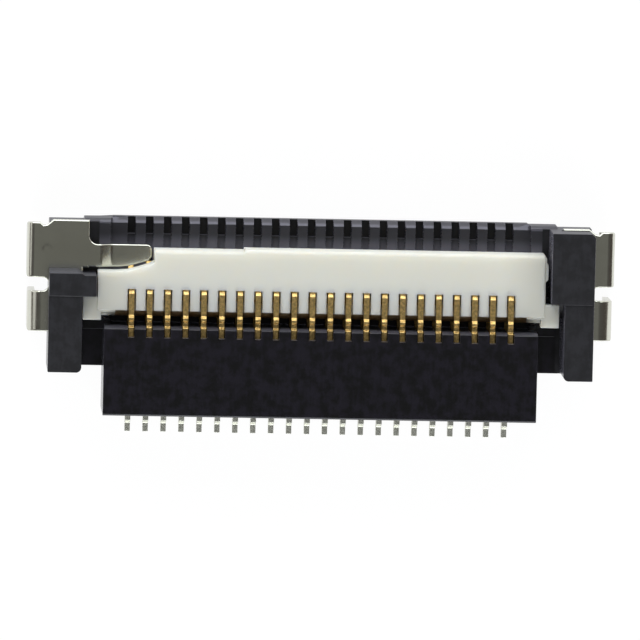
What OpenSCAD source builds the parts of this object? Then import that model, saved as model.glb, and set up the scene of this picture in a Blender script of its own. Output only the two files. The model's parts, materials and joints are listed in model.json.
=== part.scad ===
// Right-angle board connector for a flat flexible cable, with a flip actuator.
// The cable goes in at the front (-Y), the solder tails leave at the rear (+Y) and the
// seat is z = 0. The origin is the middle of the outline, on the board. Millimetres.
// Side profiles are drawn in (distance behind the housing's front, height).

/* [Contacts] */
// Number of contacts
contact_count = 22; // [8:1:40]
// Distance from one contact to the next
pitch = 0.5; // [0.45:0.01:0.8]
// Thickness of the sheet that the contacts are cut from
blade_t = 0.15; // [0.1:0.01:0.18]
// Reach of the solder tails behind the housing
tail_reach = 0.65; // [0.55:0.05:1.5]

/* [Housing] */
// Height of the housing above the board
height = 2.4; // [2.15:0.01:2.7]
// Depth of the housing without the solder tails
body_depth = 5.37; // [5.05:0.01:7]
// Thickness of the floor that the cable slides on
floor_t = 0.65; // [0.6:0.01:0.7]
// Distance from the front to the block that holds the contacts
block_front = 2.9; // [2.85:0.01:3]
// Distance from the last contact to the end of that block
block_margin = 0.75; // [0.74:0.01:0.8]
// Distance from the last contact to the outside of the housing
side_margin = 2.29; // [2.25:0.01:2.6]
// Distance by which the side walls sit off centre
wall_shift = 0.06; // [0:0.01:0.06]

/* [Actuator] */
// Thickness of the actuator
actuator_t = 1.1; // [1:0.01:1.12]
// Distance from the housing's front to the actuator's front
actuator_front = 0.74; // [0.7:0.01:0.8]
// Radius of the bar that each contact hooks round
bar_r = 0.22; // [0.15:0.01:0.23]
// Radius of the two end trunnions
trunnion_r = 0.32; // [0.26:0.01:0.33]

/* [Hold-downs] */
// Thickness of the hold-down sheet
sheet_t = 0.2; // [0.15:0.01:0.22]
// Step down from the plate to its spring tongue
tongue_drop = 0.15; // [0.05:0.01:0.16]
// Length of the spring tongue from the plate's inner edge
tongue_reach = 1.74; // [1.2:0.01:1.85]

/* [Fits] */
// Gap on each side of a contact in its slot
slot_gap = 0.015; // [0.01:0.005:0.03]
// Gap between moving and fixed pieces
play = 0.04; // [0.03:0.005:0.05]
// Gap above the hold-down plate in its slot
plate_gap = 0.06; // [0.02:0.01:0.08]

/* [Hidden] */
$fn = 48;
past = 1; // how far a cutter runs past the piece it cuts

// the row of contacts, and where each one stands
row_half = (contact_count - 1) * pitch / 2;
slot_w = blade_t + 2 * slot_gap;
comb_w = slot_w + 0.03;
window_w = blade_t + 2 * play;
function contact_x(i) = i * pitch - row_half;
function digits(i) = i < 9 ? str("0", i + 1) : str(i + 1);
function contact_name(i) = str("contact_", digits(i));

// distances from the housing's front
total_depth = body_depth + tail_reach;
side_front = 0.1;
step_front = 0.03;
block_end = body_depth;
arm_end = body_depth - 1.17;
web_end = arm_end - 0.05;
pivot_v = block_front - 0.47;
arm_front = pivot_v - trunnion_r - play + 0.01;

// half widths: each stands a set margin outside the last contact
comb_margin = 0.53;
guide_margin = 0.58;
actuator_margin = 0.97;
wall_margin = 1.04;
trunnion_margin = 1.34;
arm_margin = 1.42;
block_half = row_half + block_margin;
side_half = row_half + side_margin;
comb_half = row_half + comb_margin;
guide_in = row_half + guide_margin;
actuator_half = row_half + actuator_margin;
wall_in = row_half + wall_margin;
trunnion_end = row_half + trunnion_margin;
arm_in = row_half + arm_margin;

// heights
pivot_drop = 0.75;
body_drop = 0.65;
guide_rise = 0.3;
pivot_z = height - pivot_drop;
plate_z = height / 2;
arm_top = height - 0.05;
guide_top = floor_t + guide_rise;
actuator_bottom = pivot_z - body_drop;
actuator_top = actuator_bottom + actuator_t;
slot_roof = height - 0.2;
beam_under = pivot_z + bar_r + play;
beam_top = slot_roof - 0.04;
groove_z = 0.1;
web_z = 0.12;

// the hooks and the windows they work in
hook_in = bar_r + play;
hook_out = 0.67;
window_r = hook_out + play;

// chamfers, and the details that the pieces share
chamfer_v = 0.155;
chamfer_z = 0.25;
top_chamfer = [0.06, 0.15];
corner_r = 0.15;

// hold-downs
plate_top = plate_z + sheet_t;
plate_front = 0.05;
plate_in = row_half + 1.45;
spring_slot_in = row_half + 1.3;
spring_block_front = 1.38;
rear_plate_in = row_half + 1.7;
leg_margin = 0.61;
leg_out = side_half + leg_margin;
rear_leg_out = leg_out - 0.03;
leg_front = 0.23;
leg_bend = sheet_t + 0.02;
rear_leg_bend = sheet_t + 0.22;
foot = 0.36;
notch_front = 1.66;
notch_end = 2.04;
plate_end = 3.16;

// the spring tongue, and the actuator's relief round it
tongue_margin = 1.18;
tongue_root = row_half + tongue_margin;
tongue_tip = tongue_root - tongue_reach;
tongue_front = 0.71;
tongue_rear_root = 1.35;
tongue_rear_tip = 1.15;
relief_x = tongue_tip - 0.05;
relief_gap = 0.05;
relief_undercut = 0.16;

// front edge of the actuator, and its friction bump
front_set_back = 0.05;
set_back_x = row_half - 6.2 * pitch;
bump = 0.05;

// ---- helpers ----

// Moves the housing's front from y = 0 so that the whole outline is centred
module seated() {
    translate([0, -total_depth / 2, 0]) children();
}

// Prism along X of a side profile
module across(x_from, x_to) {
    translate([x_from, 0, 0]) rotate([90, 0, 90]) linear_extrude(x_to - x_from) children();
}

// Prism along Y of an end profile
module along(y_from, y_to) {
    translate([0, y_to, 0]) rotate([90, 0, 0]) linear_extrude(y_to - y_from) children();
}

// The same shape at +X and at -X
module both_ends() {
    children();
    mirror([1, 0, 0]) children();
}

// A plan outline from its +X half, listed from front to rear
module plan(half_outline) {
    last = len(half_outline) - 1;
    polygon(concat(
        half_outline,
        [for (i = [last : -1 : 0]) [-half_outline[i][0], half_outline[i][1]]]
    ));
}

// A box from one corner to the opposite one
module box(low, high) {
    translate(low) cube(high - low);
}

// ---- housing ----

// Floor, comb front and the low webs beside the block
module housing_floor() {
    linear_extrude(floor_t) plan([
        [comb_half, 0],
        [comb_half, step_front],
        [comb_half + 0.32, step_front],
        [wall_in + 0.11, side_front],
        [side_half, side_front],
        [side_half, arm_end - 0.2],
        [arm_in, web_end],
        [block_half, web_end],
        [block_half, block_end]
    ]);
}

// Raised guides beside the cable
module cable_guide() {
    across(guide_in, arm_in - 0.1) polygon([
        [step_front, 0],
        [step_front, guide_top - 0.15],
        [step_front + 0.08, guide_top],
        [block_front + 0.2, guide_top],
        [block_front + 0.2, 0]
    ]);
}

// Block that holds the contacts, with a chamfer along its front top edge
module contact_block() {
    across(-block_half, block_half) polygon([
        [block_front, 0],
        [block_front, height - top_chamfer[1]],
        [block_front + top_chamfer[0], height],
        [block_end - 0.04, height],
        [block_end, height - 0.04],
        [block_end, 0]
    ]);
    // low corner posts in front of the block
    both_ends() across(block_half - 0.2, block_half) polygon([
        [block_front - 0.13, 0],
        [block_front - 0.13, pivot_z - 0.3],
        [block_front + 0.1, pivot_z - 0.1],
        [block_front + 0.1, 0]
    ]);
}

// Arm beside the hinge, with a rounded corner at its inner rear
module side_arm(inner) {
    linear_extrude(arm_top) polygon([
        [inner, arm_front],
        [side_half, arm_front],
        [side_half, arm_end],
        [inner + corner_r, arm_end],
        [inner + corner_r, arm_end - corner_r],
        [inner, arm_end - corner_r]
    ]);
    translate([inner + corner_r, arm_end - corner_r, 0]) cylinder(r = corner_r, h = arm_top);
}

// Saddle under a trunnion: its hollow is concentric with the hinge line, and it
// stops short at the rear, where the trunnion's flat comes down as the actuator opens
module saddle(outer) {
    rear = pivot_v + 0.1;
    rim = pivot_z - 0.25;
    across(actuator_half + play, outer + 0.1) difference() {
        polygon([
            [arm_front - 0.1, 0],
            [arm_front - 0.1, rim],
            [rear, rim],
            [rear, 0]
        ]);
        translate([pivot_v, pivot_z]) circle(r = trunnion_r + play);
    }
}

// Full-height block over the plain hold-down, at -X
module plain_side() {
    inner = wall_in + wall_shift;
    corner = 0.1;
    linear_extrude(height) polygon([
        [-inner, side_front],
        [-inner, arm_front],
        [-side_half, arm_front],
        [-side_half, side_front + corner],
        [-side_half + corner, side_front]
    ]);
}

// Short block behind the spring hold-down, at +X, and the shelf in front of it
module spring_side() {
    inner = wall_in - wall_shift;
    pocket = 0.12;
    linear_extrude(height) polygon([
        [side_half, spring_block_front],
        [inner + 0.52, spring_block_front],
        [inner + 0.32, spring_block_front + pocket],
        [inner, spring_block_front + pocket],
        [inner, arm_front],
        [side_half, arm_front]
    ]);
    box([plate_in - 0.04, side_front, 0], [side_half, arm_front, plate_z]);
}

// Slot that takes a hold-down plate from the front
module plate_slot(x_front) {
    box([x_front, -past, plate_z], [side_half + past, arm_front, plate_top + plate_gap]);
    box(
        [rear_plate_in - 0.05, -past, plate_z],
        [side_half + past, plate_end + 0.03, plate_top + plate_gap]
    );
}

// Everything that one contact needs cut from the housing
module contact_slot() {
    comb_step = 0.47;
    comb_end = 0.95;
    across(-comb_w / 2, comb_w / 2) polygon([
        [-past, floor_t - 0.3],
        [comb_step, floor_t - 0.3],
        [comb_step, floor_t - 0.15],
        [comb_end, floor_t - 0.15],
        [comb_end, floor_t + past],
        [-past, floor_t + past]
    ]);
    across(-slot_w / 2, slot_w / 2) polygon([
        [comb_end - 0.01, groove_z],
        [block_front + 0.45, groove_z],
        [block_front + 0.45, web_z],
        [block_end + past, web_z],
        [block_end + past, slot_roof],
        [block_front + 0.28, slot_roof],
        [block_front + 0.34, height + past],
        [comb_end - 0.01, height + past]
    ]);
    // lead-in at the rear face
    lead = 0.06;
    across(-slot_w / 2 - lead / 2, slot_w / 2 + lead / 2) polygon([
        [block_end - lead, web_z],
        [block_end + past, web_z],
        [block_end + past, slot_roof],
        [block_end - lead, slot_roof]
    ]);
}

// Chamfer along the comb's front edge
module comb_chamfer() {
    across(-comb_half, comb_half) polygon([
        [-past, floor_t - chamfer_z],
        [0, floor_t - chamfer_z],
        [chamfer_v, floor_t],
        [chamfer_v, floor_t + past],
        [-past, floor_t + past]
    ]);
}

// Chamfer along the front top edge of the short block
module spring_side_chamfer() {
    across(wall_in - past, side_half + past) polygon([
        [spring_block_front - past, height - 0.12],
        [spring_block_front, height - 0.12],
        [spring_block_front + 0.07, height],
        [spring_block_front + 0.07, height + past],
        [spring_block_front - past, height + past]
    ]);
}

// Shallow relief under the seat, and the ejector marks in it
module seat_relief() {
    relief = 0.04;
    half = row_half + 0.3;
    front = 1.3;
    rear = block_end - 0.85;
    box([-half, front, -past], [half, rear, relief]);
    for (x = [-row_half * 0.8, 0, row_half * 0.8])
        translate([x, (front + block_front) / 2, -past]) cylinder(r = 0.35, h = past + relief + 0.02);
}

module housing() {
    color([0.13, 0.12, 0.16]) seated() difference() {
        union() {
            housing_floor();
            both_ends() cable_guide();
            contact_block();
            side_arm(arm_in - wall_shift);
            mirror([1, 0, 0]) side_arm(arm_in + wall_shift);
            saddle(arm_in - wall_shift);
            mirror([1, 0, 0]) saddle(arm_in + wall_shift);
            plain_side();
            spring_side();
        }
        comb_chamfer();
        spring_side_chamfer();
        seat_relief();
        plate_slot(spring_slot_in);
        mirror([1, 0, 0]) plate_slot(plate_in - 0.04);
        for (i = [0 : contact_count - 1])
            translate([contact_x(i), 0, 0]) contact_slot();
    }
}

// ---- actuator ----

// Side profile of the actuator: rounded top front edge, nail chamfer below it
module actuator_profile(front, rear, top) {
    nose_r = 0.1;
    nail = 0.15;
    polygon([
        [front, actuator_bottom + nail],
        [front + nail, actuator_bottom],
        [rear, actuator_bottom],
        [rear, top],
        [front + nose_r, top],
        [front + nose_r, top - nose_r],
        [front, top - nose_r]
    ]);
    translate([front + nose_r, top - nose_r]) circle(r = nose_r);
}

// Body of the actuator before its windows are cut
module actuator_body() {
    rear = pivot_v + 0.035;
    end_rear = pivot_v + 0.09;
    end_in = row_half + 0.45;
    end_top = actuator_top - 0.03;
    across(-actuator_half + 0.05, set_back_x) {
        actuator_profile(actuator_front, rear, actuator_top);
    }
    across(set_back_x - 0.01, relief_x) {
        actuator_profile(actuator_front + front_set_back, rear, actuator_top);
    }
    // edge at -X, a little lower than the middle, and the longer ends
    translate([0, 0, actuator_bottom]) linear_extrude(end_top - actuator_bottom) plain_edge(end_rear);
    across(-actuator_half + 0.05, -end_in) {
        actuator_profile(actuator_front + 0.4, end_rear, end_top);
    }
    spring_end(end_in, rear, end_rear, end_top);
}

// Plan of the -X edge: friction bump, then a notch beside the side wall
module plain_edge(rear) {
    front = actuator_front + 0.05;
    end = -actuator_half;
    polygon([
        [end + 0.06, front],
        [end + 0.03, front],
        [end, front + 0.03],
        [end, front + 0.14],
        [end - bump, front + 0.22],
        [end - bump, front + 0.62],
        [end + 0.02, front + 0.69],
        [end + 0.02, rear],
        [end + 0.06, rear]
    ]);
}

// Rear edge of the tongue in plan, from its tip to its root
function tongue_rear(gap) = [
    [tongue_tip + 0.08, tongue_rear_tip + gap],
    [tongue_tip + 0.34, tongue_rear_tip + 0.085 + gap],
    [tongue_tip + 0.68, tongue_rear_root - 0.025 + gap],
    [tongue_tip + 1, tongue_rear_root + gap]
];

// Plan of the +X end: it follows the tongue's rear edge at a set gap
function relief_line(gap) = concat(
    [[relief_x - past, -past], [relief_x, -past], [relief_x, tongue_rear_tip - 0.08 + gap]],
    tongue_rear(gap),
    [
        [side_half, tongue_rear_root + gap],
        [side_half, pivot_v + 0.2],
        [relief_x - past, pivot_v + 0.2]
    ]
);

// The +X end: cut back behind the tongue, and further below the plate for the swing
module spring_end(end_in, rear, end_rear, end_top) {
    end = wall_in - wall_shift - play;
    front = tongue_rear_tip - 0.2;
    intersection() {
        union() {
            box([relief_x - 0.05, front, actuator_bottom], [end, rear, actuator_top]);
            box([end_in, pivot_v - 0.5, actuator_bottom], [end, end_rear, end_top]);
        }
        union() {
            translate([0, 0, plate_top - 0.05]) linear_extrude(height) {
                polygon(relief_line(relief_gap));
            }
            linear_extrude(height) polygon(relief_line(relief_gap + relief_undercut));
        }
    }
}

// Side profile of a trunnion: round below, flat on top to match the actuator's ends
module trunnion_profile() {
    top = actuator_top - 0.03;
    translate([pivot_v, pivot_z]) circle(r = trunnion_r);
    translate([pivot_v - trunnion_r, pivot_z]) square([2 * trunnion_r, top - pivot_z]);
}

// Window that lets a hook round its bar through the whole swing
module hinge_window() {
    across(-window_w / 2, window_w / 2) difference() {
        translate([pivot_v, pivot_z]) circle(r = window_r);
        translate([pivot_v, pivot_z]) circle(r = bar_r);
    }
}

module actuator() {
    color([0.86, 0.86, 0.82]) seated() {
        difference() {
            actuator_body();
            for (i = [0 : contact_count - 1])
                translate([contact_x(i), 0, 0]) hinge_window();
        }
        // bars that carry the windows' ends, and the trunnions
        across(-trunnion_end, trunnion_end) {
            translate([pivot_v, pivot_z]) circle(r = bar_r);
        }
        both_ends() across(block_half + 0.09, trunnion_end) trunnion_profile();
    }
}

// ---- hold-downs ----

// End profile of a plate with one leg bent down to the board. A foot longer than the
// sheet's thickness is turned in under the plate
module bent_profile(inner, outer, bend, foot_length) {
    translate([inner, plate_z]) square([outer - bend - inner, sheet_t]);
    translate([outer - sheet_t, 0]) square([sheet_t, plate_top - bend]);
    translate([outer - foot_length, 0]) square([foot_length, sheet_t]);
    intersection() {
        translate([outer - bend, plate_top - bend]) difference() {
            circle(r = bend);
            circle(r = bend - sheet_t);
        }
        translate([outer - bend, plate_top - bend]) square(bend);
    }
}

// Plate with two legs, drawn for the +X end
module bracket(inner) {
    bridge_out = side_half + (notch_end - notch_front) / 2;
    along(plate_front, notch_front) bent_profile(inner, leg_out, leg_bend, foot);
    along(notch_end, plate_end) {
        bent_profile(rear_plate_in, rear_leg_out, rear_leg_bend, sheet_t);
    }
    box([rear_plate_in, notch_front - 0.01, plate_z], [bridge_out, notch_end + 0.01, plate_top]);
}

// Round end of the notch between the legs, and the relief in front of the front leg
module bracket_cuts() {
    notch_r = (notch_end - notch_front) / 2;
    lip = plate_front + 0.08;
    translate([side_half + notch_r, notch_front + notch_r, plate_z - past])
        cylinder(r = notch_r, h = 2 * past + sheet_t);
    translate([0, 0, -past]) linear_extrude(height + past) polygon([
        [side_half - 0.11, -past],
        [side_half - 0.11, plate_front],
        [side_half + 0.06, lip + 0.06],
        [side_half + 0.17, lip + 0.08],
        [side_half + 0.26, lip],
        [leg_out + past, lip],
        [leg_out + past, -past]
    ]);
    box([side_half, -past, -past], [leg_out + past, leg_front, plate_top - leg_bend]);
}

// Sheet of the tongue: two bends step it down from the plate
module tongue_sheet() {
    bend_out = tongue_root - 0.33;
    bend_in = bend_out - 0.3;
    low = plate_z - tongue_drop;
    along(tongue_front - 0.3, tongue_rear_root) polygon([
        [plate_in + 0.05, plate_z],
        [plate_in + 0.05, plate_top],
        [bend_out, plate_top],
        [bend_in, low + sheet_t],
        [tongue_tip, low + sheet_t],
        [tongue_tip, low],
        [bend_in, low],
        [bend_out, plate_z]
    ]);
}

// Plan of the tongue: a fillet into the plate, a tapered rear edge, a round tip
module tongue_plan() {
    fillet = 0.24;
    tip_r = 0.15;
    difference() {
        polygon(concat(
            [
                [plate_in + 0.1, tongue_front - fillet],
                [tongue_root - fillet, tongue_front - fillet],
                [tongue_root - fillet, tongue_front],
                [tongue_tip + tip_r, tongue_front],
                [tongue_tip + tip_r, tongue_front + tip_r],
                [tongue_tip, tongue_front + tip_r],
                [tongue_tip, tongue_rear_tip - 0.1]
            ],
            tongue_rear(0),
            [[plate_in + 0.1, tongue_rear_root]]
        ));
        translate([tongue_root - fillet, tongue_front - fillet]) circle(r = fillet);
    }
    translate([tongue_tip + tip_r, tongue_front + tip_r]) circle(r = tip_r);
}

// Shallow round stamping mark in the top of the plate
module stamping_mark() {
    mark_r = 0.21;
    depth = 0.02;
    ball_r = (mark_r * mark_r + depth * depth) / (2 * depth);
    translate([side_half + 0.05, (plate_front + notch_front) / 2, plate_top + ball_r - depth])
        sphere(r = ball_r);
}

// Hold-down at +X, whose tongue presses on the edge of the cable
module hold_down_spring() {
    color([0.5, 0.5, 0.45]) seated() difference() {
        union() {
            bracket(plate_in - 0.27);
            intersection() {
                tongue_sheet();
                linear_extrude(height) tongue_plan();
            }
        }
        bracket_cuts();
        // the plate starts further out where it enters the housing
        box(
            [0, spring_block_front - 0.01, 0],
            [spring_slot_in + play, plate_end + past, height]
        );
        stamping_mark();
    }
}

// Hold-down at -X, the same fitting without a tongue
module hold_down_plain() {
    color([0.5, 0.5, 0.45]) seated() mirror([1, 0, 0]) difference() {
        bracket(plate_in);
        bracket_cuts();
    }
}

// ---- contacts ----

// Fork of one contact: hooked upper beam, sprung lower beam, web and tail
module contact_profile() {
    web_front = block_front + 0.48;
    web_rear = (web_front + block_end) / 2 + 0.35;
    beam_low = floor_t - 0.21;
    bump_v = 1.55;
    bump_r = 0.08;
    bump_top = floor_t + 0.19;
    neck_top = 0.5;
    foot_front = block_end + 0.16;
    // web, a press fit between the slot's floor and roof
    translate([web_front, web_z]) square([web_rear - web_front, slot_roof - web_z]);
    // upper beam and hook
    difference() {
        union() {
            polygon([
                [pivot_v, beam_under],
                [web_front + 0.01, beam_under],
                [web_front + 0.01, slot_roof],
                [block_front + 0.03, slot_roof],
                [block_front - 0.01, beam_top - 0.02],
                [block_front - 0.13, beam_top - 0.02],
                [block_front - 0.17, slot_roof + 0.04],
                [block_front - 0.25, slot_roof + 0.04],
                [block_front - 0.31, beam_top],
                [pivot_v, beam_top]
            ]);
            intersection() {
                translate([pivot_v, pivot_z]) circle(r = hook_out);
                translate([pivot_v - hook_out, pivot_z - 0.1])
                    square([hook_out + 0.1, beam_top - pivot_z + 0.1]);
            }
        }
        translate([pivot_v, pivot_z]) circle(r = hook_in);
        translate([pivot_v - 0.1, 0]) square([hook_out, beam_under]);
    }
    // lower beam with its contact point
    polygon([
        [web_front + 0.01, web_z],
        [web_front + 0.01, beam_low + 0.08],
        [web_front - 0.35, beam_low + 0.02],
        [bump_v + 0.4, beam_low],
        [bump_v + 0.07, bump_top - bump_r],
        [bump_v - 0.07, bump_top - bump_r],
        [bump_v - 0.22, floor_t - 0.04],
        [bump_v - 0.33, floor_t - 0.1],
        [bump_v - 0.33, beam_low - 0.02],
        [bump_v - 0.2, beam_low - 0.08],
        [bump_v + 0.45, beam_low - 0.17],
        [web_front - 0.35, 0.2]
    ]);
    translate([bump_v, bump_top - bump_r]) circle(r = bump_r);
    // neck, step and solder foot
    polygon([
        [web_rear - 0.01, neck_top - 0.2],
        [foot_front, neck_top - 0.2],
        [foot_front + 0.08, 0],
        [total_depth, 0],
        [total_depth, 0.2],
        [foot_front + 0.24, 0.2],
        [foot_front + 0.15, neck_top],
        [web_rear - 0.01, neck_top]
    ]);
}

module contact(i) {
    color([0.72, 0.58, 0.28]) seated() translate([contact_x(i), 0, 0]) {
        across(-blade_t / 2, blade_t / 2) contact_profile();
    }
}

housing();
actuator();
hold_down_spring();
hold_down_plain();
for (i = [0 : contact_count - 1])
    contact(i);
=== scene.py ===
"""Dresses the flat cable connector and sets its stage.

Each CAD node gets a copy with rounded edges and a moulded, stamped or plated finish.
"""

import bpy
from math import cos, radians, sin
from mathutils import Matrix, Vector
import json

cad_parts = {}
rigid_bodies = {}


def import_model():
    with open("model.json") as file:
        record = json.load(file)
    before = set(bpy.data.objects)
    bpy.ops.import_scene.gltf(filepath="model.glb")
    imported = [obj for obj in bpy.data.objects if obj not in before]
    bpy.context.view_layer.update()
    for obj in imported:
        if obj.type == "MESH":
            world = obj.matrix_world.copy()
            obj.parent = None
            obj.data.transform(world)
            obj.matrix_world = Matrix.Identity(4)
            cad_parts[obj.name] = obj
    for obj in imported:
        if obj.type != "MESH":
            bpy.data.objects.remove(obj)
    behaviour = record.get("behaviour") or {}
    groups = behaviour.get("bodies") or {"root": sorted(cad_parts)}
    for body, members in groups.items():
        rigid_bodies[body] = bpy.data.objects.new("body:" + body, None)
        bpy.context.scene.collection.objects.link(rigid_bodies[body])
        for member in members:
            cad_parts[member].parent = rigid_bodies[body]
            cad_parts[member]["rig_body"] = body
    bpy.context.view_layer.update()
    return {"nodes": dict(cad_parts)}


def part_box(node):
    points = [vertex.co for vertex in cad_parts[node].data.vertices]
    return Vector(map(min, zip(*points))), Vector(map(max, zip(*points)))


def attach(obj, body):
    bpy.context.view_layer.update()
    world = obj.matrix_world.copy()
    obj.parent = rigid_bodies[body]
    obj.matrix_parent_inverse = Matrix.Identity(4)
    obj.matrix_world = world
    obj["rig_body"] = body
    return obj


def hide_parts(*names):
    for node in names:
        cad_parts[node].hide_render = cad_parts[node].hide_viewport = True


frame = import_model()

bl_info = {
    "name": "Flat Cable Connector",
    "version": (1, 0, 0),
    "blender": (4, 5, 0),
    "location": "View3D > Sidebar > Connector",
    "description": "Finishes a flip-actuator cable connector and sets its stage",
    "category": "Object",
}

MM = 0.001
CONTACTS = sorted(name for name in frame["nodes"] if name.startswith("contact_"))
HOLD_DOWNS = ("hold_down_spring", "hold_down_plain")

# the comb: its pitch, the width of its slots, and half its own width
PITCH = 0.5 * MM
COMB_SLOT = 0.21 * MM
COMB_HALF = 5.45 * MM

# half widths between the side walls, before the hinge and behind it, and past the walls' faces
SIDE_IN = 6.15 * MM
ARM_IN = 6.6 * MM
WALL_OUT = ARM_IN + 0.25 * MM

# places from front to rear
HOUSING_LOW, HOUSING_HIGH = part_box("housing")
FRONT = HOUSING_LOW.y
CHAMFER_END = FRONT + 0.16 * MM
LID_BOUNCE = FRONT + 0.6 * MM
BLOCK_FRONT = FRONT + 2.6 * MM
HINGE_Y = -0.58 * MM
SIDE_END = HINGE_Y - 0.35 * MM
BAR_FRONT = HINGE_Y + 0.06 * MM
TAIL_START = HOUSING_HIGH.y - 0.05 * MM

# the actuator: half the length of its bars, and where painted shade darkens its ends
BARS_HALF = 5.7 * MM
SHADED_END = 5.6 * MM
SHADED_BAND = 1.6 * MM

# how wide the change between two tones is
CRISP = 0.02 * MM
SOFT = 0.04 * MM
LID_BAND = 0.4 * MM
BLOCK_BAND = 0.1 * MM

# how squarely a face must look sideways or to the front to get painted light, and over what band
SIDEWAYS = (0.8, 0.2)
FORWARD = (0.6, 0.2)
SHEER = (0.93, 0.08)

# how many times lighter each part is than the housing's darkest tone: the arms and teeth are
# matt, while the chamfer, the comb under the lid and the walls are lighter with painted light
BLOCK_TONE = 6
MATT_AND_LIT_TONES = {
    "arm": 2,
    "tooth": 4,
    "chamfer": 15,
    "under lid": 16,
    "wall": 6,
    "hinge wall": 18,
}

# the parts of a hold-down that roll over: above this height, or outside this face
PLATE_Z = 1.22 * MM
LEG_FACE = 8.1 * MM

# limits for the edges: points that are one, edges too short to round
WELD = 2.5e-6
TOUCHING = 0.001 * MM
SHORTEST_ROLLED = 0.006 * MM
SMALLEST_ROUNDED = 0.06 * MM
FLAT = radians(1.5)

# the floor: its glow, and how much of that the camera and the shiny pieces see
FLOOR_GLOW = 1.03
FLOOR_SEEN = 0.93
FLOOR_MIRRORED = 0.85
BACKDROP = 0.9

# the light boxes: where their edges are on the tent, how strong they are, their colour
BOX_EDGE = 0.62
BOX_BAND = 0.3
FRONT_BOX = 0.64
BACK_BOX = 0.92
BOX_COLOUR = (0.93, 0.97, 1.0)

# what the camera looks at, and the width of its sensor in millimetres
CAMERA_TARGET = (0.038 * MM, -0.382 * MM, 2.2 * MM)
SENSOR = 36


# ---- finishes ----


class Wire:
    """A value on its way through a material; arithmetic on it adds Math nodes."""

    def __init__(self, sheet, socket):
        self.sheet = sheet
        self.socket = socket

    def _math(self, operation, *values):
        return self.sheet.node("ShaderNodeMath", {"operation": operation}, *values)

    def __add__(self, other):
        return self._math("ADD", self, other)

    def __radd__(self, other):
        return self._math("ADD", other, self)

    def __sub__(self, other):
        return self._math("SUBTRACT", self, other)

    def __rsub__(self, other):
        return self._math("SUBTRACT", other, self)

    def __mul__(self, other):
        return self._math("MULTIPLY", self, other)

    def __rmul__(self, other):
        return self._math("MULTIPLY", other, self)

    def __abs__(self):
        return self._math("ABSOLUTE", self)

    def above(self, edge, soft):
        """0 below edge and 1 above it, over a band soft wide."""
        return self.sheet.node(
            "ShaderNodeMapRange",
            {"interpolation_type": "SMOOTHSTEP"},
            self,
            edge - soft / 2,
            edge + soft / 2,
            0.0,
            1.0,
        )


class NodeSheet:
    """A node tree that grows as values are worked out on it."""

    def __init__(self, tree, coordinates):
        self.tree = tree
        source = tree.nodes.new("ShaderNodeTexCoord")
        self.place = Wire(self, source.outputs[coordinates])

    def node(self, kind, settings, *values, output=None, **named):
        """Adds a node: its settings first, then what goes into its sockets."""
        made = self.tree.nodes.new(kind)
        stops = settings.pop("stops", None)
        for key, value in settings.items():
            setattr(made, key, value)
        if stops:
            self._set_stops(made.color_ramp, stops)
        sockets = [s for s in made.inputs if s.enabled]
        pairs = list(zip(sockets, values))
        pairs += [(made.inputs[key.replace("_", " ")], value) for key, value in named.items()]
        for socket, value in pairs:
            self._feed(socket, value)
        first = next(s for s in made.outputs if s.enabled)
        return Wire(self, made.outputs[output] if output else first)

    def _feed(self, socket, value):
        if isinstance(value, Wire):
            self.tree.links.new(value.socket, socket)
        elif value is not None:
            socket.default_value = value

    def _set_stops(self, ramp, stops):
        while len(ramp.elements) < len(stops):
            ramp.elements.new(1.0)
        for element, (place, colour) in zip(ramp.elements, stops):
            element.position = place
            element.color = (*colour, 1.0)

    def axis(self, which):
        """The X, Y or Z part of the coordinates, in metres for a piece."""
        return self.node("ShaderNodeSeparateXYZ", {}, self.place, output=which)

    def blend(self, factor, low, high):
        """A colour between low and high."""
        low = low if isinstance(low, Wire) else (*low, 1.0)
        high = high if isinstance(high, Wire) else (*high, 1.0)
        return self.node("ShaderNodeMix", {"data_type": "RGBA"}, factor, low, high)


class Finish(NodeSheet):
    """One material in the making, with a Principled shader at its end."""

    def __init__(self, name, **constants):
        self.material = bpy.data.materials.new(name)
        self.material.use_nodes = True
        super().__init__(self.material.node_tree, "Object")
        self.shader = self.tree.nodes["Principled BSDF"]
        for socket, value in constants.items():
            self.shader.inputs[socket.replace("_", " ")].default_value = value

    def noise(self, size, detail=2.0, stretch=(1, 1, 1), roughness=0.5):
        """Soft noise whose blotches are about size across, drawn out along stretch."""
        scaled = self.node(
            "ShaderNodeMapping", {}, Vector=self.place, Scale=[1 / s for s in stretch]
        )
        return self.node(
            "ShaderNodeTexNoise",
            {"noise_dimensions": "3D"},
            Vector=scaled,
            Scale=1 / size,
            Detail=detail,
            Roughness=roughness,
        )

    def feed(self, **links):
        """Links values to the shader's own sockets."""
        for socket, value in links.items():
            self.tree.links.new(value.socket, self.shader.inputs[socket.replace("_", " ")])

    def facing(self, which):
        """The X, Y or Z part of the direction that the surface faces."""
        normal = self.node("ShaderNodeNewGeometry", {}, output="Normal")
        return self.node("ShaderNodeSeparateXYZ", {}, normal, output=which)

    def bump(self, height, depth, strength):
        """Relief of the given depth, in metres, on the surface."""
        relief = self.node(
            "ShaderNodeBump", {}, Strength=strength, Distance=depth, Height=height
        )
        self.feed(Normal=relief)


def shade(colour, amount):
    """The same colour, lighter or darker."""
    return tuple(min(1.0, amount * part) for part in colour)


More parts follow.
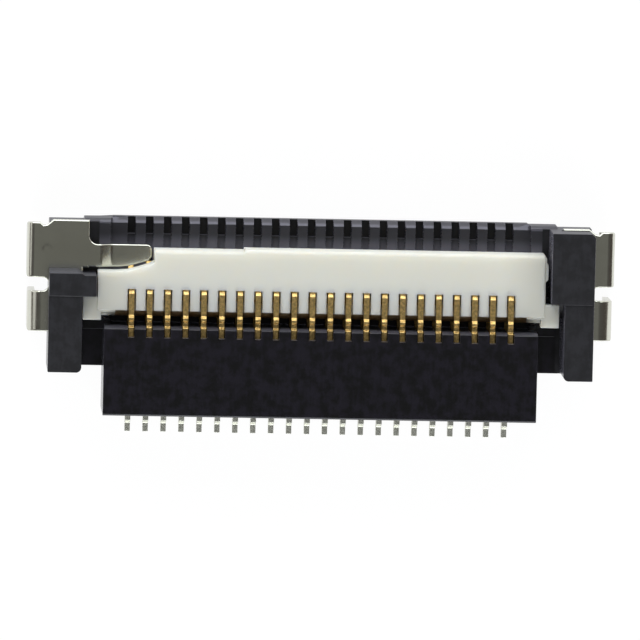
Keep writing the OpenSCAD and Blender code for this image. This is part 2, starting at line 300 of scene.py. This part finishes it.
def black_moulding(look):
    """Glass-filled black moulding: polished block, matt arms and comb, painted shade in the
    slots, painted light on the chamfer, under the lid and on the walls.
    """
    finish = Finish("black_moulding", IOR=1.45)
    mottle = finish.noise(0.35 * MM, detail=4.0, roughness=0.65)
    flow = finish.noise(0.1 * MM, stretch=(1, 6, 6))
    grain = finish.noise(0.035 * MM)
    cloud = (mottle * 0.75 + flow * 0.25).above(0.5, 0.2)
    x = finish.axis("X")
    y = finish.axis("Y")
    beside = abs(x).above(SIDE_IN, SOFT)
    at_hinge = y.above(SIDE_END, CRISP)
    on_arm = beside * (1 - at_hinge) + abs(x).above(ARM_IN, SOFT) * at_hinge
    on_floor = (1 - y.above(BLOCK_FRONT, BLOCK_BAND)) * (1 - beside)
    from_tooth = finish.node("ShaderNodeMath", {"operation": "PINGPONG"}, x, PITCH / 2)
    # painted shade: the comb's slots take the housing's darkest tone, for the shade inside the
    # grooves
    shaded_slot = from_tooth.above((PITCH - COMB_SLOT) / 2, CRISP)
    shaded_slot = shaded_slot * (1 - abs(x).above(COMB_HALF, CRISP))
    # painted highlight: the front chamfer of the teeth gets a much lighter tone, as if lit from
    # the front
    lit_chamfer = 1 - y.above(CHAMFER_END, CRISP)
    # painted bounce light: the comb turns lighter where it runs under the actuator, as if lit by
    # its ivory
    bounce_under_lid = y.above(LID_BOUNCE, LID_BAND)
    # painted light: faces turned sideways or to the front get a lighter tone, the inner walls
    # beside the hinge the lightest
    sideways = abs(finish.facing("X")).above(*SIDEWAYS)
    towards_front = 0 - finish.facing("Y")
    lit_forward = towards_front.above(*FORWARD) * (1 - on_floor)
    lit_forward = lit_forward + towards_front.above(*SHEER) * on_floor
    lit_beside_hinge = sideways * beside * (1 - abs(x).above(WALL_OUT, SOFT))
    # the arm and tooth tones are matt finish; the chamfer, under-lid and wall tones are painted
    # light
    matt = {part: shade(look.matt_black, amount) for part, amount in MATT_AND_LIT_TONES.items()}
    block = finish.blend(cloud, look.black, shade(look.black, BLOCK_TONE))
    arm = finish.blend(cloud, look.matt_black, matt["arm"])
    tooth = finish.blend(lit_chamfer, matt["tooth"], matt["chamfer"])
    tooth = finish.blend(shaded_slot, tooth, look.black)
    comb = finish.blend(bounce_under_lid, tooth, matt["under lid"])
    tops = finish.blend(on_floor, finish.blend(on_arm, block, arm), comb)
    # painted light on the walls, lightest beside the hinge
    walls = finish.blend(lit_beside_hinge, matt["wall"], matt["hinge wall"])
    polish = 1 - 0.5 * sideways
    finish.feed(
        Base_Color=finish.blend(sideways + lit_forward, tops, walls),
        Roughness=(0.3 + 0.14 * (on_arm + on_floor)) * polish + 0.1 * grain,
    )
    finish.bump(grain * 0.7 + flow * 0.3, 2.5e-6, 0.5)
    return finish.material


def white_moulding(look):
    """Ivory moulding: milky, with a fine matt grain, painted shade towards its ends and a
    painted brown shade on the hinge bar.
    """
    finish = Finish(
        "white_moulding",
        IOR=1.45,
        Subsurface_Weight=1.0,
        Subsurface_Radius=(1.0, 0.9, 0.75),
        Subsurface_Scale=0.5 * MM,
    )
    cloud = finish.noise(1.1 * MM)
    grain = finish.noise(0.04 * MM)
    x = finish.axis("X")
    # painted shade: the hinge bar behind the actuator takes a dark brown tone
    shaded_bar = finish.axis("Y").above(BAR_FRONT, SOFT) * (1 - abs(x).above(BARS_HALF, SOFT))
    body = finish.blend(cloud, look.white, shade(look.white, 1.03))
    # painted shade: the actuator darkens towards its ends, beside the black walls
    body = finish.blend(abs(x).above(SHADED_END, SHADED_BAND), body, shade(look.white, 0.8))
    finish.feed(
        Base_Color=finish.blend(shaded_bar, body, look.bar),
        Roughness=0.42 + 0.12 * grain,
    )
    finish.bump(grain, 1.5e-6, 0.4)
    return finish.material


def tinned_sheet(look):
    """Tin-plated sheet: dull plating with faint clouds and rolling lines."""
    finish = Finish("tinned_sheet", Metallic=1.0)
    cloud = finish.noise(0.35 * MM, detail=3.0)
    rolled = finish.noise(0.03 * MM, stretch=(1, 14, 14))
    pits = finish.noise(0.02 * MM, detail=1.0)
    finish.feed(
        Base_Color=finish.blend(cloud, shade(look.tin, 0.9), look.tin),
        Roughness=0.15 + 0.08 * cloud + 0.05 * rolled,
    )
    finish.bump(pits * 0.5 + rolled * 0.5, 0.8e-6, 0.4)
    return finish.material


def plated_blade(look):
    """Stamped blade: gold over the hooks, tin on the solder tail, sheared edges."""
    finish = Finish("plated_blade", Metallic=1.0)
    shear = finish.noise(0.02 * MM, detail=3.0, stretch=(5, 1, 1))
    cloud = finish.noise(0.08 * MM, detail=3.0)
    on_tail = finish.axis("Y").above(TAIL_START, SOFT)
    gold = finish.blend(cloud.above(0.5, 0.4), shade(look.gold, 0.55), look.gold)
    tin = finish.blend(cloud, shade(look.tin, 0.85), look.tin)
    finish.feed(
        Base_Color=finish.blend(on_tail, gold, tin),
        Roughness=0.3 + 0.25 * shear,
    )
    finish.bump(shear * 0.6 + cloud * 0.4, 6e-6, 0.8)
    return finish.material


# ---- modelling helpers ----


def select_only(piece):
    """Leaves this one object selected and active."""
    bpy.ops.object.select_all(action="DESELECT")
    piece.hide_viewport = False
    piece.select_set(True)
    bpy.context.view_layer.objects.active = piece


def any_edge(low, high):
    """For a piece whose sharp edges are all rounded."""
    return True


def long_edge(low, high):
    """For a moulding whose smallest details stay as they are."""
    return (high - low).length > SMALLEST_ROUNDED


def rolled_edge(low, high):
    """For a stamped sheet, where only the upper and outer side rolls over."""
    outer = all(end.z > PLATE_Z or abs(end.x) > LEG_FACE for end in (low, high))
    return outer and (high - low).length > SHORTEST_ROLLED


def dressed_copy(node, name, edge, material, rounds=any_edge, segments=2, crease=33):
    """A copy of a CAD node with its corners rounded, standing for that node."""
    source = frame["nodes"][node]
    piece = bpy.data.objects.new(name, source.data.copy())
    bpy.context.scene.collection.objects.link(piece)
    select_only(piece)
    bpy.ops.object.mode_set(mode="EDIT")
    bpy.ops.mesh.select_all(action="SELECT")
    bpy.ops.mesh.remove_doubles(threshold=WELD)
    bpy.ops.mesh.customdata_custom_splitnormals_clear()
    bpy.ops.mesh.dissolve_limited(angle_limit=FLAT)
    bpy.ops.mesh.select_all(action="DESELECT")
    bpy.ops.mesh.select_mode(type="EDGE")
    bpy.ops.mesh.edges_select_sharp(sharpness=radians(crease))
    bpy.ops.object.mode_set(mode="OBJECT")
    weights = piece.data.attributes.new("bevel_weight_edge", "FLOAT", "EDGE")
    corners = piece.data.vertices
    for line in piece.data.edges:
        if line.select and rounds(*(corners[index].co for index in line.vertices)):
            weights.data[line.index].value = 1.0
    rounding = piece.modifiers.new("Edges", "BEVEL")
    rounding.width = edge
    rounding.segments = segments
    rounding.limit_method = "WEIGHT"
    rounding.miter_outer = "MITER_ARC"
    rounding.use_clamp_overlap = False
    bpy.ops.object.modifier_apply(modifier=rounding.name)
    bpy.ops.object.mode_set(mode="EDIT")
    bpy.ops.mesh.select_all(action="SELECT")
    bpy.ops.mesh.remove_doubles(threshold=TOUCHING)
    bpy.ops.mesh.dissolve_degenerate(threshold=TOUCHING)
    bpy.ops.object.mode_set(mode="OBJECT")
    bpy.ops.object.shade_smooth_by_angle(angle=radians(crease))
    # Blender drops normals weighted by such small areas, so the mesh is enlarged for this
    piece.data.transform(Matrix.Scale(1 / MM, 4))
    shading = piece.modifiers.new("Flats", "WEIGHTED_NORMAL")
    shading.keep_sharp = True
    bpy.ops.object.modifier_apply(modifier=shading.name)
    piece.data.transform(Matrix.Scale(MM, 4))
    piece.data.materials.clear()
    piece.data.materials.append(material)
    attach(piece, source["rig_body"])
    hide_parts(node)
    return piece


# ---- settings ----


class ConnectorLook(bpy.types.PropertyGroup):
    """Colours of the connector's finishes."""

    black: bpy.props.FloatVectorProperty(
        name="Black moulding", description="Darkest tone of the housing",
        subtype="COLOR", size=3, min=0, max=1, default=(0.0012, 0.001, 0.0018),
    )
    matt_black: bpy.props.FloatVectorProperty(
        name="Matt black", description="Darkest tone of the housing's grained faces",
        subtype="COLOR", size=3, min=0, max=1, default=(0.0082, 0.008, 0.0098),
    )
    white: bpy.props.FloatVectorProperty(
        name="White moulding", description="Colour of the actuator",
        subtype="COLOR", size=3, min=0, max=1, default=(0.72, 0.71, 0.64),
    )
    # painted shade: the hinge bar's colour is its shadow behind the actuator, with a painted
    # brown reflection of the gold hooks
    bar: bpy.props.FloatVectorProperty(
        name="Hinge bar", description="Colour of the bar that the contacts rub",
        subtype="COLOR", size=3, min=0, max=1, default=(0.3, 0.2, 0.1),
    )
    tin: bpy.props.FloatVectorProperty(
        name="Tin plating", description="Colour of the hold-downs and tails",
        subtype="COLOR", size=3, min=0, max=1, default=(0.7, 0.7, 0.62),
    )
    gold: bpy.props.FloatVectorProperty(
        name="Gold plating", description="Colour of the contacts' hooks",
        subtype="COLOR", size=3, min=0, max=1, default=(0.8, 0.56, 0.22),
    )


class ConnectorEdges(bpy.types.PropertyGroup):
    """How far each piece's edges are rounded."""

    housing: bpy.props.FloatProperty(
        name="Housing", description="Rounding of the housing's edges",
        unit="LENGTH", min=0, default=0.02 * MM,
    )
    actuator: bpy.props.FloatProperty(
        name="Actuator", description="Rounding of the actuator's edges",
        unit="LENGTH", min=0, default=0.013 * MM,
    )
    sheet: bpy.props.FloatProperty(
        name="Sheet", description="Roll-over at the hold-downs' cut edges",
        unit="LENGTH", min=0, default=0.05 * MM,
    )
    blade: bpy.props.FloatProperty(
        name="Blade", description="Rounding of the contacts' stamped edges",
        unit="LENGTH", min=0, default=0.015 * MM,
    )


class ConnectorStage(bpy.types.PropertyGroup):
    """Where the camera stands and how the stage is lit."""

    distance: bpy.props.FloatProperty(
        name="Camera height", description="Height of the camera over the connector",
        unit="LENGTH", min=0.05, default=0.28,
    )
    lean_to_entry: bpy.props.FloatProperty(
        name="Lean to entry", description="Camera offset towards the cable entry",
        unit="LENGTH", default=0.0262,
    )
    lean_to_spring: bpy.props.FloatProperty(
        name="Lean to spring end", description="Camera offset towards the spring hold-down",
        unit="LENGTH", default=0.013,
    )
    roll: bpy.props.FloatProperty(
        name="Roll", description="Turn of the connector in the picture",
        subtype="ANGLE", default=radians(1.296),
    )
    picture_width: bpy.props.FloatProperty(
        name="Picture width", description="Width of what the camera sees at the connector",
        unit="LENGTH", min=0.005, default=17.686 * MM,
    )
    light: bpy.props.FloatProperty(
        name="Light", description="Strength of the tent's light", min=0, default=4.2,
    )


# ---- operators ----


class DressHousing(bpy.types.Operator):
    """Round the housing's edges and give it the black moulding"""

    bl_idname = "connector.dress_housing"
    bl_label = "Dress Housing"

    def execute(self, context):
        scene = context.scene
        material = black_moulding(scene.connector_look)
        dressed_copy(
            "housing", "housing_moulding", scene.connector_edges.housing, material,
            rounds=long_edge,
        )
        return {"FINISHED"}


class DressActuator(bpy.types.Operator):
    """Round the actuator's edges and give it the white moulding"""

    bl_idname = "connector.dress_actuator"
    bl_label = "Dress Actuator"

    def execute(self, context):
        scene = context.scene
        material = white_moulding(scene.connector_look)
        dressed_copy(
            "actuator", "actuator_moulding", scene.connector_edges.actuator, material,
            rounds=long_edge,
        )
        return {"FINISHED"}


class DressHoldDowns(bpy.types.Operator):
    """Roll the edges of both hold-downs and give them their tin plating"""

    bl_idname = "connector.dress_hold_downs"
    bl_label = "Dress Hold-downs"

    def execute(self, context):
        scene = context.scene
        material = tinned_sheet(scene.connector_look)
        for node in HOLD_DOWNS:
            dressed_copy(
                node, node + "_sheet", scene.connector_edges.sheet, material,
                rounds=rolled_edge, segments=3, crease=18,
            )
        return {"FINISHED"}


class DressContacts(bpy.types.Operator):
    """Round the contacts' edges and give them gold hooks and tinned tails"""

    bl_idname = "connector.dress_contacts"
    bl_label = "Dress Contacts"

    def execute(self, context):
        scene = context.scene
        material = plated_blade(scene.connector_look)
        for node in CONTACTS:
            dressed_copy(
                node, node + "_blade", scene.connector_edges.blade, material
            )
        return {"FINISHED"}


class SetStage(bpy.types.Operator):
    """Set the floor, the light and the camera"""

    bl_idname = "connector.set_stage"
    bl_label = "Set Stage"

    def execute(self, context):
        stage = context.scene.connector_stage
        self.lay_floor()
        self.light_world(context, stage)
        self.hang_lamps()
        self.place_camera(context, stage)
        context.scene.view_settings.view_transform = "Standard"
        return {"FINISHED"}

    def lay_floor(self):
        """A wide pale floor that shows as white and keeps a faint shadow."""
        bpy.ops.object.select_all(action="DESELECT")
        bpy.ops.mesh.primitive_grid_add(x_subdivisions=2, y_subdivisions=2, size=4)
        floor = bpy.context.object
        floor.name = "floor"
        floor.data.materials.append(self.floor_finish())

    def floor_finish(self):
        finish = Finish("pale_floor", Roughness=0.7, Base_Color=(0.85, 0.85, 0.85, 1.0))
        seen = finish.node("ShaderNodeLightPath", {}, output="Is Camera Ray")
        mirrored = finish.node("ShaderNodeLightPath", {}, output="Is Glossy Ray")
        through = finish.node("ShaderNodeLightPath", {}, output="Is Transmission Ray")
        glow = finish.node("ShaderNodeEmission", {}, Color=(1, 1, 1, 1), Strength=FLOOR_GLOW)
        lit = Wire(finish, finish.shader.outputs["BSDF"])
        share = seen * FLOOR_SEEN + (mirrored + through) * FLOOR_MIRRORED
        both = finish.node("ShaderNodeMixShader", {}, share, lit, glow)
        output = finish.tree.nodes["Material Output"]
        finish.tree.links.new(both.socket, output.inputs["Surface"])
        return finish.material

    def light_world(self, context, stage):
        """Soft boxes in front and behind, dark side walls, and a dull opening overhead."""
        world = bpy.data.worlds.new("light_tent")
        world.use_nodes = True
        context.scene.world = world
        tent = NodeSheet(world.node_tree, "Generated")
        walls = tent.node(
            "ShaderNodeValToRGB",
            {
                "stops": [
                    (0.0, (0.12, 0.11, 0.1)),
                    (0.06, (0.018, 0.015, 0.013)),
                    (0.7, (0.016, 0.014, 0.013)),
                    (0.95, (0.02, 0.019, 0.018)),
                    (0.98, (0.04, 0.04, 0.037)),
                    (1.0, (0.04, 0.04, 0.037)),
                ]
            },
            tent.axis("Z"),
        )
        along = tent.axis("Y")
        front_box = (0 - along).above(BOX_EDGE, BOX_BAND) * FRONT_BOX
        back_box = along.above(BOX_EDGE, BOX_BAND) * BACK_BOX
        lit = tent.blend(front_box + back_box, walls, BOX_COLOUR)
        sky = tent.tree.nodes["Background"]
        sky.inputs["Strength"].default_value = stage.light
        seen = tent.node("ShaderNodeLightPath", {}, output="Is Camera Ray")
        plain = shade((1.0, 1.0, 1.0), BACKDROP / stage.light)
        tent.tree.links.new(tent.blend(seen, lit, plain).socket, sky.inputs["Color"])

    def hang_lamps(self):
        """Broad soft lamps low down: two in front, one behind."""
        places = (
            ("front_lamp", (0.10, -0.42, 0.16), 0.30, 0.3),
            ("side_lamp", (0.40, -0.05, 0.20), 0.25, 0.12),
            ("back_lamp", (-0.15, 0.40, 0.22), 0.25, 0.12),
        )
        for name, place, size, power in places:
            light = bpy.data.lights.new(name, "AREA")
            light.shape = "DISK"
            light.size = size
            light.energy = power
            lamp = bpy.data.objects.new(name, light)
            bpy.context.scene.collection.objects.link(lamp)
            lamp.location = place
            lamp.rotation_euler = Vector(place).to_track_quat("Z", "Y").to_euler()

    def place_camera(self, context, stage):
        """High over the connector, leaning to the cable entry, entry at the top."""
        data = bpy.data.cameras.new("camera")
        camera = bpy.data.objects.new("camera", data)
        context.scene.collection.objects.link(camera)
        target = Vector(CAMERA_TARGET)
        place = Vector((stage.lean_to_spring, -stage.lean_to_entry, stage.distance)) + target
        back = (place - target).normalized()
        right = Vector((0, -1, 0)).cross(back).normalized()
        up = back.cross(right)
        turned_right = right * cos(stage.roll) + up * sin(stage.roll)
        turned_up = up * cos(stage.roll) - right * sin(stage.roll)
        turn = Matrix((turned_right, turned_up, back)).transposed()
        camera.matrix_world = Matrix.Translation(place) @ turn.to_4x4()
        data.sensor_width = SENSOR
        data.lens = data.sensor_width * (place - target).length / stage.picture_width
        data.clip_start = 0.01
        data.clip_end = 20
        context.scene.camera = camera


OPERATORS = (DressHousing, DressActuator, DressHoldDowns, DressContacts, SetStage)


class ConnectorPanel(bpy.types.Panel):
    """Lists the connector's steps in the sidebar"""

    bl_idname = "VIEW3D_PT_connector"
    bl_label = "Connector"
    bl_space_type = "VIEW_3D"
    bl_region_type = "UI"
    bl_category = "Connector"

    def draw(self, context):
        layout = self.layout
        scene = context.scene
        for group in (scene.connector_look, scene.connector_edges, scene.connector_stage):
            box = layout.box()
            for name in group.__annotations__:
                box.prop(group, name)
        for operator in OPERATORS:
            layout.operator(operator.bl_idname)


GROUPS = {
    "connector_look": ConnectorLook,
    "connector_edges": ConnectorEdges,
    "connector_stage": ConnectorStage,
}


def register():
    for cls in (*GROUPS.values(), *OPERATORS, ConnectorPanel):
        bpy.utils.register_class(cls)
    for name, cls in GROUPS.items():
        setattr(bpy.types.Scene, name, bpy.props.PointerProperty(type=cls))


def unregister():
    for name in GROUPS:
        delattr(bpy.types.Scene, name)
    for cls in reversed((*GROUPS.values(), *OPERATORS, ConnectorPanel)):
        bpy.utils.unregister_class(cls)


def main():
    register()
    bpy.ops.connector.dress_housing()
    bpy.ops.connector.dress_actuator()
    bpy.ops.connector.dress_hold_downs()
    bpy.ops.connector.dress_contacts()
    bpy.ops.connector.set_stage()


if __name__ == "__main__":
    main()
